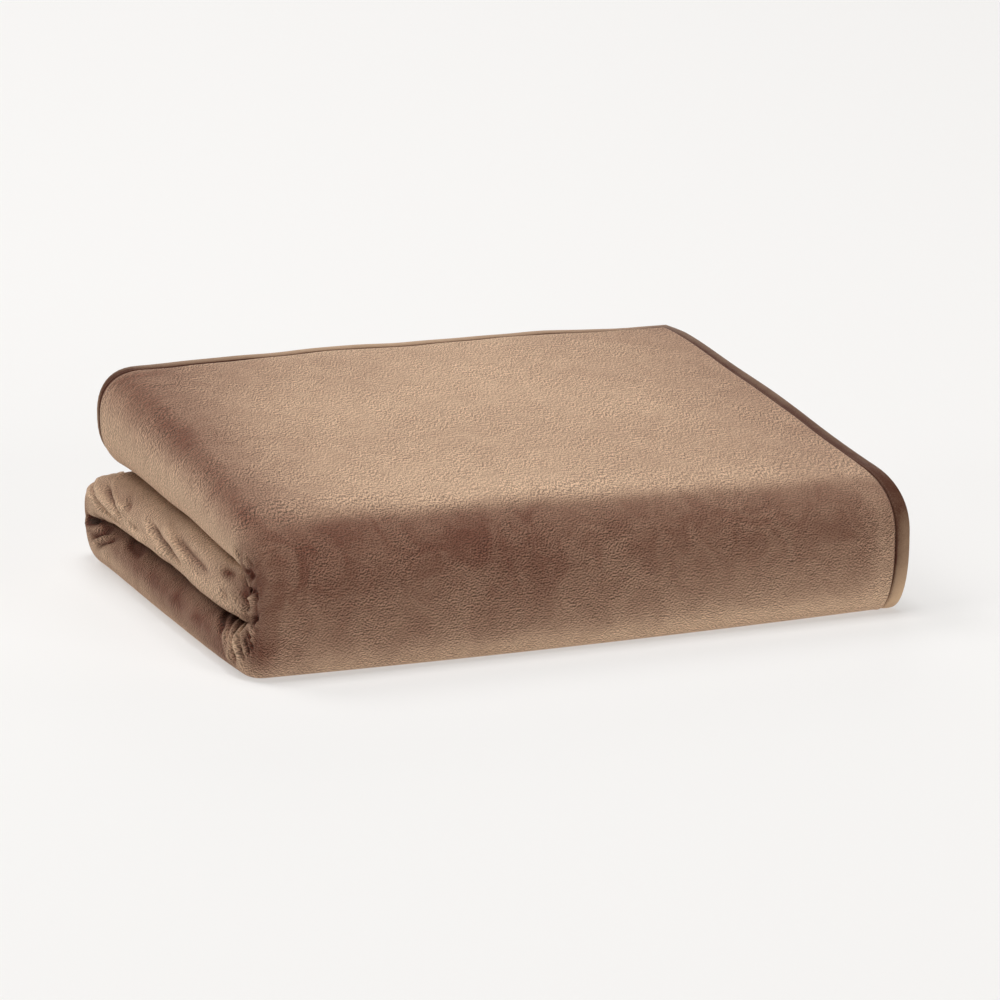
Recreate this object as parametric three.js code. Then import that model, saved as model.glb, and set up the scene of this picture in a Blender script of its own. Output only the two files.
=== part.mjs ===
import * as THREE from 'three';

// Folded plush blanket with bound edges, in millimetres, +Z up.
// The sheet is first folded twice across its length, so that four layers lie on each other,
// and this strip of four layers is then folded in three: down over the front, along the
// bottom, up round the back, and forward again between the other two sections.
// X runs from the folded ends (left) to the hemmed ends (right), Y from the front fold back.

// Driving sizes
const LENGTH = 470;
const TOP_DEPTH_LEFT = 336;
const TOP_DEPTH_RIGHT = 368;
const LOWER_DEPTH_LEFT = 354;
const LOWER_DEPTH_RIGHT = 362;
const RIGHT_END_LEAN = 19;
const HEM_STAGGER = 8;
const TOP_CROWN = 3.5;

// Cloth and its four layers
const LAYERS = 4;
const CLOTH_THICKNESS = 10;
const LAYER_GAP = 1;
const SECTION_GAP = 1.6;

// Edge binding: a folded tape over a cloth edge that is pressed thin under it
const TAPE_WIDTH = 10.5;
const TAPE_THICKNESS = 0.9;
const TAPE_CLEARANCE = 0.3;
const PRESSED_CLOTH = 3.4;
const PRESSED_RUN = 4;
const CLOTH_EDGE = TAPE_THICKNESS + TAPE_CLEARANCE;
const FULL_CLOTH_FROM = TAPE_WIDTH + PRESSED_RUN;
const TAPE_CORNER = 1.2;
const TAPE_INNER_HALF = PRESSED_CLOTH / 2 + TAPE_CLEARANCE;
const TAPE_OUTER_HALF = TAPE_INNER_HALF + TAPE_THICKNESS;

// Front fold: its outer curve, and the hollow inside it that holds the middle section
const FRONT_THICKNESS = 30;
const FRONT_HOLLOW = 15;
const FRONT_MOST_HEIGHT = 56;
const FRONT_TOP_ROUND = 60;
const FRONT_BOTTOM_ROUND = 30;

// Back fold of the two lower sections
const BACK_THICKNESS = 31;
const BACK_MOST_HEIGHT = 33;
const BACK_BOTTOM_ROUND = 32;
const BACK_TOP_ROUND = 58;

// Middle section: its hem stays this far inside the front fold
const TIP_GAP = 6;

// Lengths of the two straight runs of the path that end in a hem
const TOP_RUN = (TOP_DEPTH_LEFT + TOP_DEPTH_RIGHT) / 2 - FRONT_TOP_ROUND;
const TIP_DEPTH = FRONT_THICKNESS + TIP_GAP;
const MIDDLE_RUN = (LOWER_DEPTH_LEFT + LOWER_DEPTH_RIGHT) / 2 - BACK_TOP_ROUND - TIP_DEPTH;

// How full the rounded folds are: 2 is an ellipse, more is squarer
const FULLNESS = 2.4;

// Heights of the three sections, by depth (0 at the front, 1 at the back), left and right
const HEIGHTS = [
  { at: 0.00, lowLeft: 28, lowRight: 30, midLeft: 65, midRight: 62, topLeft: 101, topRight: 90 },
  { at: 0.15, lowLeft: 29, lowRight: 31, midLeft: 67, midRight: 63, topLeft: 107, topRight: 92 },
  { at: 0.45, lowLeft: 33, lowRight: 35, midLeft: 70, midRight: 70, topLeft: 121, topRight: 106 },
  { at: 0.75, lowLeft: 34, lowRight: 37, midLeft: 70, midRight: 77, topLeft: 132, topRight: 119 },
  { at: 0.90, lowLeft: 33, lowRight: 37, midLeft: 68, midRight: 80, topLeft: 136, topRight: 123 },
  { at: 1.00, lowLeft: 31, lowRight: 37, midLeft: 65, midRight: 81, topLeft: 138, topRight: 122 },
];

// How far the folded ends stand back from the left along the strip's path, and how full they are
const LEFT_ENDS = [
  { path: 0.00, inset: 6, fullness: 2.3 },
  { path: 0.60, inset: 2, fullness: 2.1 },
  { path: 1.00, inset: 0, fullness: 2.0 },
  { path: 1.50, inset: 6, fullness: 2.0 },
  { path: 2.00, inset: 0, fullness: 2.2 },
  { path: 2.50, inset: -2, fullness: 2.4 },
  { path: 3.00, inset: -1, fullness: 2.8 },
  { path: 3.50, inset: 4, fullness: 3.4 },
  { path: 4.00, inset: 0, fullness: 2.8 },
  { path: 4.40, inset: 0, fullness: 2.4 },
  { path: 4.74, inset: 3, fullness: 2.2 },
  { path: 4.90, inset: 14, fullness: 2.1 },
  { path: 5.00, inset: 20, fullness: 2.0 },
];

// How far the hemmed ends stand back from the right, along the strip's path
const RIGHT_ENDS = [
  { path: 0.0, inset: 0 },
  { path: 2.0, inset: 0 },
  { path: 3.0, inset: 5 },
  { path: 4.0, inset: 9 },
  { path: 5.0, inset: 14 },
];

// The second hem and the fold beneath it, short of the outer hem
const SECOND_HEM_INSET = 5;
const RIGHT_FOLD_INSET = 9;

// The strip's path in five parts: top, front fold, bottom, back fold, middle
const PATH_STEPS = [7, 10, 6, 9, 6];

// The sheet's run across the strip in seven parts: straight layers, and folds between them
const RUN_STEPS = [4, 8, 4, 5, 4, 5, 4];

// Finish
const CLOTH_FINISH = { color: 0x8d6f58, roughness: 0.95, metalness: 0 };
const TAPE_FINISH = { color: 0x6e4f3d, roughness: 0.6, metalness: 0 };

function mix(a, b, share) {
  return a + (b - a) * share;
}

function ease(share) {
  const s = Math.min(1, Math.max(0, share));
  return s * s * (3 - 2 * s);
}

// One column of a table, eased between the two rows that the place lies between
function column(table, key, place, name) {
  let row = 0;
  while (row < table.length - 2 && place > table[row + 1][key]) {
    row += 1;
  }
  const low = table[row];
  const high = table[row + 1];
  const before = table[Math.max(0, row - 1)];
  const after = table[Math.min(table.length - 1, row + 2)];
  const span = high[key] - low[key];
  const share = Math.min(1, Math.max(0, (place - low[key]) / span));
  const slopeLow = (high[name] - before[name]) / (high[key] - before[key]);
  const slopeHigh = (after[name] - low[name]) / (after[key] - low[key]);
  const s2 = share * share;
  const s3 = s2 * share;
  return low[name] * (2 * s3 - 3 * s2 + 1) + high[name] * (3 * s2 - 2 * s3)
    + slopeLow * span * (s3 - 2 * s2 + share) + slopeHigh * span * (s3 - s2);
}

// Height of the top of a section (low, mid or top) over a place on the floor
function height(name, x, y) {
  const across = x / LENGTH;
  const deep = mix(TOP_DEPTH_LEFT, TOP_DEPTH_RIGHT, across);
  const left = column(HEIGHTS, 'at', y / deep, name + 'Left');
  const right = column(HEIGHTS, 'at', y / deep, name + 'Right');
  const crown = name === 'top' ? TOP_CROWN * 4 * across * (1 - across) : 0;
  return mix(left, right, across) + crown;
}

// A rounded quarter: share 0 is the flat end, share 1 the outermost point
function roundQuarter(share) {
  const angle = share * Math.PI / 2;
  return {
    out: Math.pow(Math.sin(angle), 2 / FULLNESS),
    up: Math.pow(Math.cos(angle), 2 / FULLNESS),
  };
}

// A point of a fold that runs from a flat surface at flatY round to its outermost point
function foldPoint(share, flatY, outerY, outerZ, flatHeight) {
  const turn = roundQuarter(share);
  const y = mix(flatY, outerY, turn.out);
  return { y, z: mix(outerZ, flatHeight(y), turn.up) };
}

// Outer and inner face of the strip of layers, at a place on its path and across it
function faces(path, x) {
  const part = Math.min(4, Math.floor(path));
  const share = path - part;
  const across = x / LENGTH;
  const topBack = mix(TOP_DEPTH_LEFT, TOP_DEPTH_RIGHT, across);
  const lowBack = mix(LOWER_DEPTH_LEFT, LOWER_DEPTH_RIGHT, across);
  const hollowY = FRONT_THICKNESS + FRONT_HOLLOW;
  const turnY = lowBack - BACK_THICKNESS;
  const half = SECTION_GAP / 2;
  const low = (y) => height('low', x, y);
  const mid = (y) => height('mid', x, y);
  const top = (y) => height('top', x, y);
  const floor = () => 0;
  const hollowZ = (low(hollowY) + mid(hollowY)) / 2;
  if (part === 0) {
    const outerY = mix(topBack, FRONT_TOP_ROUND, share);
    const innerY = mix(topBack - HEM_STAGGER, hollowY, share);
    return { outer: { y: outerY, z: top(outerY) }, inner: { y: innerY, z: mid(innerY) + half } };
  }
  if (part === 1) {
    const upper = share < 0.5;
    const turn = upper ? share * 2 : 2 - share * 2;
    const outer = upper
      ? foldPoint(turn, FRONT_TOP_ROUND, 0, FRONT_MOST_HEIGHT, top)
      : foldPoint(turn, FRONT_BOTTOM_ROUND, 0, FRONT_MOST_HEIGHT, floor);
    const innerFlat = upper ? (y) => mid(y) + half : (y) => low(y) - half;
    const inner = foldPoint(turn, hollowY, FRONT_THICKNESS, hollowZ, innerFlat);
    return { outer, inner };
  }
  if (part === 2) {
    const outerY = mix(FRONT_BOTTOM_ROUND, lowBack - BACK_BOTTOM_ROUND, share);
    const innerY = mix(hollowY, turnY - half, share);
    return { outer: { y: outerY, z: 0 }, inner: { y: innerY, z: low(innerY) - half } };
  }
  if (part === 3) {
    const lower = share < 0.5;
    const turn = lower ? share * 2 : 2 - share * 2;
    const outer = lower
      ? foldPoint(turn, lowBack - BACK_BOTTOM_ROUND, lowBack, BACK_MOST_HEIGHT, floor)
      : foldPoint(turn, lowBack - BACK_TOP_ROUND, lowBack, BACK_MOST_HEIGHT, (y) => mid(y) - half);
    const angle = (share - 0.5) * Math.PI;
    const inner = { y: turnY - half + half * Math.cos(angle), z: low(turnY) + half * Math.sin(angle) };
    return { outer, inner };
  }
  const outerY = mix(lowBack - BACK_TOP_ROUND, TIP_DEPTH, share);
  const innerY = mix(turnY - half, TIP_DEPTH, share);
  const tuck = (y) => {
    const into = Math.min(1, Math.max(0, (hollowY - y) / FRONT_HOLLOW));
    return Math.pow(1 - Math.pow(into, FULLNESS), 1 / FULLNESS);
  };
  return {
    outer: { y: outerY, z: mix(hollowZ, mid(outerY) - half, tuck(outerY)) },
    inner: { y: innerY, z: mix(hollowZ, low(innerY) + half, tuck(innerY)) },
  };
}

// A point in the strip: at a place on its path, across it, and deep below its outer face
function inStrip(path, x, deep) {
  const { outer, inner } = faces(path, x);
  const share = deep / Math.hypot(inner.y - outer.y, inner.z - outer.z);
  return [x, mix(outer.y, inner.y, share), mix(outer.z, inner.z, share)];
}

// Spacing of the layers where the strip is that thick: the cloth is pressed thinner in a thin strip
function layering(path, x) {
  const { outer, inner } = faces(path, x);
  const thick = Math.hypot(inner.y - outer.y, inner.z - outer.z);
  const cloth = Math.min(CLOTH_THICKNESS, (thick - (LAYERS - 1) * LAYER_GAP) / LAYERS);
  return { cloth, pitch: (thick - cloth) / (LAYERS - 1) };
}

// Ends of the layers at a place on the path
function ends(path) {
  const backward = inStrip(path, LENGTH, 0)[1] / TOP_DEPTH_RIGHT;
  const hem = LENGTH - RIGHT_END_LEAN * backward - column(RIGHT_ENDS, 'path', path, 'inset');
  const left = column(LEFT_ENDS, 'path', path, 'inset');
  const { cloth, pitch } = layering(path, left);
  const fullness = column(LEFT_ENDS, 'path', path, 'fullness');
  return { hem, wrap: left + cloth / 2 + 1.5 * pitch, outerRadius: 1.5 * pitch, fullness };
}

// A point of a full round fold, on a radius of 1, with its outward normal
function fullRound(angle, fullness) {
  const sine = Math.sin(angle);
  const cosine = Math.cos(angle);
  const power = (value, exponent) => Math.sign(value) * Math.pow(Math.abs(value), exponent);
  const normal = [power(sine, 2 - 2 / fullness), power(cosine, 2 - 2 / fullness)];
  const size = Math.hypot(normal[0], normal[1]);
  return {
    out: power(sine, 2 / fullness),
    up: power(cosine, 2 / fullness),
    normal: [normal[0] / size, normal[1] / size],
  };
}

// Where the sheet runs across the strip: place along x, level in layers, and the cloth's normal
function runPoint(path, { part, share, edge }) {
  const { hem, wrap, outerRadius, fullness } = ends(path);
  const secondHem = hem - SECOND_HEM_INSET;
  const fold = hem - RIGHT_FOLD_INSET - outerRadius / 3;
  const angle = share * Math.PI;
  const sine = Math.sin(angle);
  const cosine = Math.cos(angle);
  const smallRadius = outerRadius / 3;
  const full = fullRound(angle, fullness);
  const runs = [
    () => ({ x: mix(hem - edge, wrap, share), level: 0, normal: [0, -1] }),
    () => ({
      x: wrap - outerRadius * full.out,
      level: 1.5 - 1.5 * full.up,
      normal: [-full.normal[0], -full.normal[1]],
    }),
    () => ({ x: mix(wrap, fold, share), level: 3, normal: [0, 1] }),
    () => ({ x: fold + smallRadius * sine, level: 2.5 + 0.5 * cosine, normal: [sine, cosine] }),
    () => ({ x: mix(fold, wrap, share), level: 2, normal: [0, -1] }),
    () => ({ x: wrap - smallRadius * sine, level: 1.5 + 0.5 * cosine, normal: [sine, -cosine] }),
    () => ({ x: mix(wrap, secondHem - edge, share), level: 1, normal: [0, 1] }),
  ];
  return runs[part]();
}

// A point on or off the sheet's middle surface
function onSheet(path, station, off) {
  const { x, level, normal } = runPoint(path, station);
  const { cloth, pitch } = layering(path, x);
  const deep = cloth / 2 + level * pitch + normal[1] * off;
  return inStrip(path, x + normal[0] * off, deep);
}

// Stations across the strip between its two hems; a station's edge is where its straight layer ends
function innerStations() {
  const stations = [];
  RUN_STEPS.forEach((steps, part) => {
    for (let step = part === 0 ? 1 : 0; step < steps; step += 1) {
      stations.push({ part, share: step / steps, edge: FULL_CLOTH_FROM, fromHem: Infinity });
    }
  });
  return stations;
}

// A station at a distance from the hem of the first (0) or the last (6) part of the run
function hemStation(part, fromHem) {
  return { part, share: part === 0 ? 0 : 1, edge: fromHem, fromHem };
}

// Path place at a distance from the back hem (part 0) or from the middle section's hem (part 4)
function pathAt(part, fromHem) {
  return part === 0 ? fromHem / TOP_RUN : 5 - fromHem / MIDDLE_RUN;
}

// Places along the path between its two hems
function innerPlaces() {
  const first = pathAt(0, FULL_CLOTH_FROM);
  const last = pathAt(4, FULL_CLOTH_FROM);
  const places = [];
  PATH_STEPS.forEach((steps, part) => {
    for (let step = 0; step < steps; step += 1) {
      places.push(part + step / steps);
    }
  });
  const between = places.filter((place) => place > 1.5 * first && place < last - 0.5 * (5 - last));
  return [pathAt(0, TAPE_WIDTH), first, ...between, last, pathAt(4, TAPE_WIDTH)];
}

// Half the cloth's thickness, pressed thin beside a hem
function halfCloth(path, station) {
  const { x } = runPoint(path, station);
  const full = layering(path, x).cloth / 2;
  const fromHem = Math.min(station.fromHem, path * TOP_RUN, (5 - path) * MIDDLE_RUN);
  return mix(PRESSED_CLOTH / 2, full, ease((fromHem - TAPE_WIDTH) / PRESSED_RUN));
}

// A mesh from rings of points that all have the same count; the last ring may join the first
function ringMesh(name, rings, closed, caps, finish) {
  const count = rings[0].length;
  const indices = [];
  const last = closed ? rings.length : rings.length - 1;
  for (let ring = 0; ring < last; ring += 1) {
    const here = ring * count;
    const next = ((ring + 1) % rings.length) * count;
    for (let point = 0; point < count; point += 1) {
      const after = (point + 1) % count;
      indices.push(here + point, here + after, next + after);
      indices.push(here + point, next + after, next + point);
    }
  }
  for (const cap of caps) {
    indices.push(...cap);
  }
  const geometry = new THREE.BufferGeometry();
  geometry.setAttribute('position', new THREE.Float32BufferAttribute(rings.flat(2), 3));
  geometry.setIndex(indices);
  const solid = geometry.toNonIndexed();
  solid.computeVertexNormals();
  const mesh = new THREE.Mesh(solid, new THREE.MeshStandardMaterial(finish));
  mesh.name = name;
  return mesh;
}

// The sheet of cloth: one closed ring round its section for each place on the path
function blanketCloth() {
  const hems = [CLOTH_EDGE, TAPE_WIDTH, FULL_CLOTH_FROM];
  const firstHem = hems.map((fromHem) => hemStation(0, fromHem));
  const lastHem = hems.map((fromHem) => hemStation(6, fromHem)).reverse();
  const stations = [...firstHem, ...innerStations(), ...lastHem];
  const places = [pathAt(0, CLOTH_EDGE), ...innerPlaces(), pathAt(4, CLOTH_EDGE)];
  const rings = places.map((path) => {
    const face = stations.map((station) => onSheet(path, station, halfCloth(path, station)));
    const back = stations.map((station) => onSheet(path, station, -halfCloth(path, station)));
    return [...face, ...back.reverse()];
  });
  const ring = 2 * stations.length;
  const lastRing = (rings.length - 1) * ring;
  const caps = [];
  for (let here = 0; here < stations.length - 1; here += 1) {
    const next = here + 1;
    const overNext = ring - 2 - here;
    const over = ring - 1 - here;
    caps.push([here, overNext, next], [here, over, overNext]);
    caps.push([lastRing + here, lastRing + next, lastRing + overNext]);
    caps.push([lastRing + here, lastRing + overNext, lastRing + over]);
  }
  return ringMesh('blanket_cloth', rings, false, caps, CLOTH_FINISH);
}

// The tape's section: distance in from the edge, and offset from the sheet's middle
const TAPE_SECTION = [
  { in: 0, off: -0.6 * TAPE_OUTER_HALF },
  { in: TAPE_CORNER, off: -TAPE_OUTER_HALF },
  { in: TAPE_WIDTH, off: -TAPE_OUTER_HALF },
  { in: TAPE_WIDTH, off: -TAPE_INNER_HALF },
  { in: TAPE_THICKNESS, off: -TAPE_INNER_HALF },
  { in: TAPE_THICKNESS, off: TAPE_INNER_HALF },
  { in: TAPE_WIDTH, off: TAPE_INNER_HALF },
  { in: TAPE_WIDTH, off: TAPE_OUTER_HALF },
  { in: TAPE_CORNER, off: TAPE_OUTER_HALF },
  { in: 0, off: 0.6 * TAPE_OUTER_HALF },
];

// The binding: one loop round all four edges of the sheet, mitred at its corners
function edgeBinding() {
  const across = innerStations();
  const along = innerPlaces();
  const ring = (place, station) => TAPE_SECTION.map(
    (point) => onSheet(place(point), station(point), point.off),
  );
  const corner = (run, part) => ring((point) => pathAt(part, point.in), (point) => hemStation(run, point.in));
  const pathHem = (part, stations) => stations.map(
    (station) => ring((point) => pathAt(part, point.in), () => station),
  );
  const runHem = (run, places) => places.map(
    (path) => ring(() => path, (point) => hemStation(run, point.in)),
  );
  const rings = [
    corner(0, 0),
    ...pathHem(0, across),
    corner(6, 0),
    ...runHem(6, along),
    corner(6, 4),
    ...pathHem(4, [...across].reverse()),
    corner(0, 4),
    ...runHem(0, [...along].reverse()),
  ];
  return ringMesh('edge_binding', rings, true, [], TAPE_FINISH);
}

// The bundle stands with the middle of its base at the origin
const group = new THREE.Group();
group.add(blanketCloth(), edgeBinding());
const box = new THREE.Box3().setFromObject(group);
const middle = box.getCenter(new THREE.Vector3());
group.position.set(-middle.x, -middle.y, -box.min.z);

export default group;
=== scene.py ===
import math

import bpy
import numpy as np
from mathutils import Matrix, Vector, noise


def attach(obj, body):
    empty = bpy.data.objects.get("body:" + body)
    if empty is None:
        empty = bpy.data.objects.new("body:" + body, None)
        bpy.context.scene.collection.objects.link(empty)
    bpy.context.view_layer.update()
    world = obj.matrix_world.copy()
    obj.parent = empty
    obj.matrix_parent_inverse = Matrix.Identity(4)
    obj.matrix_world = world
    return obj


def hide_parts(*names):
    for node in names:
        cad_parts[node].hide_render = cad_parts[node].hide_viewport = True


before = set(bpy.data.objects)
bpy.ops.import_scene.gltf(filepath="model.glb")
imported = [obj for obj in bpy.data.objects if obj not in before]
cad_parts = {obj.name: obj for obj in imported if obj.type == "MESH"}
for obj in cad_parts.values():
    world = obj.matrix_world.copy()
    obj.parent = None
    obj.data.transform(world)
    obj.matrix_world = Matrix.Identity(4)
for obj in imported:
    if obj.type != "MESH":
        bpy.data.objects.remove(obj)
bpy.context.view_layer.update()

# Folded plush blanket with bound edges.
# Sizes are in millimetres, in the sewing room's own frame: X runs from the folded ends (left)
# to the hemmed ends (right), Y from the front fold back and Z up, from the front left corner of
# the floor. CORNER is where that corner lies in the row frame.

MM = 0.001
CORNER = np.array([-234.2145, -183.0502, 0.0])


# Short tables with named columns

def table(columns, *rows):
    return {name: np.array(values, float) for name, values in zip(columns.split(), zip(*rows))}


def rows_of(rows):
    """A table's rows, one by one."""
    return zip(*rows.values())


# Driving sizes of the bundle
LENGTH = 470
TOP_DEPTH_LEFT, TOP_DEPTH_RIGHT = 336, 368
LOWER_DEPTH_LEFT, LOWER_DEPTH_RIGHT = 354, 362
RIGHT_END_LEAN = 19
HEM_STAGGER = 8
TOP_CROWN = 3.5

# Cloth and its four layers
LAYERS = 4
MIDDLE_LEVEL = (LAYERS - 1) / 2
CLOTH_THICKNESS = 10
LAYER_GAP = 1
SECTION_GAP = 1.6

# Edge binding: a folded tape over a cloth edge that is pressed thin under it
TAPE_WIDTH = 10.5
TAPE_THICKNESS = 0.9
TAPE_CLEARANCE = 0.3
PRESSED_CLOTH = 3.4
PRESSED_RUN, PRESSED_RUN_AT_BACK = 4, 12
CLOTH_EDGE = TAPE_THICKNESS + TAPE_CLEARANCE
FULL_CLOTH_FROM = TAPE_WIDTH + PRESSED_RUN
FULL_CLOTH_FROM_AT_BACK = TAPE_WIDTH + PRESSED_RUN_AT_BACK
TAPE_INNER_HALF = PRESSED_CLOTH / 2 + TAPE_CLEARANCE
TAPE_OUTER_HALF = TAPE_INNER_HALF + TAPE_THICKNESS

# Front fold, back fold, and the middle section's hem inside the front fold
FRONT_THICKNESS = 30
FRONT_HOLLOW = 15
FRONT_MOST_HEIGHT = 56
FRONT_TOP_ROUND = 60
FRONT_BOTTOM_ROUND, FRONT_BOTTOM_ROUND_AT_ENDS = 13, 22
BACK_THICKNESS = 31
BACK_MOST_HEIGHT = 33
BACK_BOTTOM_ROUND = 32
BACK_TOP_ROUND = 58
TIP_GAP = 6
FULLNESS = 2.4

# Lengths of the two straight runs of the path that end in a hem
TOP_RUN = (TOP_DEPTH_LEFT + TOP_DEPTH_RIGHT) / 2 - FRONT_TOP_ROUND
TIP_DEPTH = FRONT_THICKNESS + TIP_GAP
MIDDLE_RUN = (LOWER_DEPTH_LEFT + LOWER_DEPTH_RIGHT) / 2 - BACK_TOP_ROUND - TIP_DEPTH

# Heights of the three sections, by depth (0 at the front, 1 at the back), left and right
HEIGHTS = table(
    "at low_left low_right mid_left mid_right top_left top_right",
    (0.00, 28, 30, 65, 62, 101, 90),
    (0.15, 29, 31, 67, 63, 107, 92),
    (0.45, 33, 35, 70, 70, 121, 106),
    (0.75, 34, 37, 70, 77, 132, 119),
    (0.90, 33, 37, 68, 80, 136, 123),
    (1.00, 31, 37, 65, 81, 138, 122),
)

# How far the folded ends stand back from the left along the path, and how full their outer and
# inner halves are: 2 is an ellipse, more is squarer
LEFT_ENDS = table(
    "path inset outer inner",
    (0.00, 7.6, 2.7, 2.3),
    (0.036, 5.2, 2.6, 2.3),
    (0.60, 2, 2.1, 2.4),
    (1.00, 0, 2.0, 2.6),
    (1.50, 6, 2.0, 4.0),
    (2.00, -4, 3.0, 2.6),
    (2.50, -3, 2.7, 2.4),
    (3.00, 2, 2.4, 2.8),
    (3.50, 4, 3.4, 3.4),
    (4.00, 0, 2.8, 2.8),
    (4.40, 0, 2.4, 2.6),
    (4.74, 3, 2.2, 3.0),
    (4.90, 14, 2.1, 2.6),
    (5.00, 20, 2.0, 2.0),
)

# How far the hemmed ends stand back from the right along the path
RIGHT_ENDS = table("path inset", (0, 0), (1.55, 0), (2, 4), (3, 7), (4, 9), (5, 14))
SECOND_HEM_INSET = 5
RIGHT_FOLD_INSET = 9

# Parts of the strip's path and of the sheet's run across it, by number
TOP, MIDDLE, PATH_END = 0, 4, 5
FIRST_RUN, LAST_RUN = 0, 6

# Steps along the strip's path, as start, end and count: top 0 to 1, front fold to 2, bottom to 3,
# back fold to 4, middle to 5. They are fine where creases lie.
PATH_STEPS = [
    (0, 1, 60), (1, 1.5, 34), (1.5, 2, 44), (2, 2.2, 36), (2.2, 3, 54), (3, 4, 38), (4, 5, 100),
]
TAPE_PATH_STEPS = [(0, 1, 60), (1, 2, 40), (2, 3, 24), (3, 4, 30), (4, 5, 30)]

# Steps of the sheet's run across the strip: outer layer 0 to 1, outer wrap to 2, innermost layer
# to 3, right fold to 4, third layer to 5, inner wrap to 6, second layer to 7
RUN_STEPS = [
    (0, 0.88, 60), (0.88, 1, 24), (1, 2, 46), (2, 3, 14), (3, 4, 8), (4, 5, 10), (5, 6, 8), (6, 7, 12),
]
TAPE_RUN_STEPS = [
    (0, 1, 60), (1, 2, 24), (2, 3, 16), (3, 4, 10), (4, 5, 10), (5, 6, 8), (6, 7, 12),
]


# Eased steps and columns

TINY = 1e-9


def mix(a, b, share):
    return a + (b - a) * share


def ease(share):
    """A share from 0 to 1 that starts and stops softly."""
    s = np.clip(share, 0, 1)
    return s * s * (3 - 2 * s)


def column(rows, key, place, name):
    """One column of a table, eased between the two rows that each place lies between."""
    keys, values = rows[key], rows[name]
    low = np.clip(np.searchsorted(keys, place) - 1, 0, len(keys) - 2)
    high = low + 1
    before, after = np.maximum(low - 1, 0), np.minimum(high + 1, len(keys) - 1)
    span = keys[high] - keys[low]
    share = np.clip((place - keys[low]) / span, 0, 1)
    slope_low = (values[high] - values[before]) / (keys[high] - keys[before])
    slope_high = (values[after] - values[low]) / (keys[after] - keys[low])
    s2, s3 = share**2, share**3
    ends_part = values[low] * (2 * s3 - 3 * s2 + 1) + values[high] * (3 * s2 - 2 * s3)
    return ends_part + slope_low * span * (s3 - 2 * s2 + share) + slope_high * span * (s3 - s2)


# The strip of four layers and its faces

def height(name, x, y):
    """Height of the top of a section (low, mid or top) over places on the floor."""
    across = x / LENGTH
    deep = y / mix(TOP_DEPTH_LEFT, TOP_DEPTH_RIGHT, across)
    left = column(HEIGHTS, "at", deep, name + "_left")
    right = column(HEIGHTS, "at", deep, name + "_right")
    crown = TOP_CROWN * 4 * across * (1 - across) if name == "top" else 0
    return mix(left, right, across) + crown


def fold_point(share, flat_y, outer_y, outer_z, flat_height):
    """A point of a fold that runs from a flat surface at flat_y round to its outermost point."""
    angle = share * math.pi / 2
    y = mix(flat_y, outer_y, math.sin(angle) ** (2 / FULLNESS))
    return y, mix(outer_z, flat_height(y), max(0.0, math.cos(angle)) ** (2 / FULLNESS))


def faces(path, x):
    """Outer and inner face of the strip, as (y, z) pairs, at one place on its path and many across it."""
    part = min(4, int(path))
    share = path - part
    across = x / LENGTH
    top_back = mix(TOP_DEPTH_LEFT, TOP_DEPTH_RIGHT, across)
    low_back = mix(LOWER_DEPTH_LEFT, LOWER_DEPTH_RIGHT, across)
    hollow_y = FRONT_THICKNESS + FRONT_HOLLOW
    turn_y = low_back - BACK_THICKNESS
    half = SECTION_GAP / 2
    bottom_round = mix(FRONT_BOTTOM_ROUND, FRONT_BOTTOM_ROUND_AT_ENDS, (2 * across - 1) ** 2)

    def low(y):
        return height("low", x, y)

    def mid(y):
        return height("mid", x, y)

    def top(y):
        return height("top", x, y)

    def floor(y):
        return 0 * y

    hollow_z = (low(hollow_y) + mid(hollow_y)) / 2
    if part == 0:
        outer_y = mix(top_back, FRONT_TOP_ROUND, share)
        inner_y = mix(top_back - HEM_STAGGER, hollow_y, share)
        return (outer_y, top(outer_y)), (inner_y, mid(inner_y) + half)
    if part == 1:
        upper = share < 0.5
        turn = share * 2 if upper else 2 - share * 2
        if upper:
            outer = fold_point(turn, FRONT_TOP_ROUND + 0 * x, 0, FRONT_MOST_HEIGHT, top)
            inner = fold_point(turn, hollow_y + 0 * x, FRONT_THICKNESS, hollow_z, lambda y: mid(y) + half)
        else:
            outer = fold_point(turn, bottom_round, 0, FRONT_MOST_HEIGHT, floor)
            inner = fold_point(turn, hollow_y + 0 * x, FRONT_THICKNESS, hollow_z, lambda y: low(y) - half)
        return outer, inner
    if part == 2:
        outer_y = mix(bottom_round, low_back - BACK_BOTTOM_ROUND, share)
        inner_y = mix(hollow_y, turn_y - half, share)
        return (outer_y, 0 * outer_y), (inner_y, low(inner_y) - half)
    if part == 3:
        lower = share < 0.5
        turn = share * 2 if lower else 2 - share * 2
        if lower:
            outer = fold_point(turn, low_back - BACK_BOTTOM_ROUND, low_back, BACK_MOST_HEIGHT, floor)
        else:
            flat_y = low_back - BACK_TOP_ROUND
            outer = fold_point(turn, flat_y, low_back, BACK_MOST_HEIGHT, lambda y: mid(y) - half)
        angle = (share - 0.5) * math.pi
        inner = (turn_y - half + half * math.cos(angle), low(turn_y) + half * math.sin(angle))
        return outer, inner
    outer_y = mix(low_back - BACK_TOP_ROUND, TIP_DEPTH, share)
    inner_y = mix(turn_y - half, TIP_DEPTH, share)

    def tuck(y):
        into = np.clip((hollow_y - y) / FRONT_HOLLOW, 0, 1)
        return (1 - into**FULLNESS) ** (1 / FULLNESS)

    outer_z = mix(hollow_z, mid(outer_y) - half, tuck(outer_y))
    return (outer_y, outer_z), (inner_y, mix(hollow_z, low(inner_y) + half, tuck(inner_y)))


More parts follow.
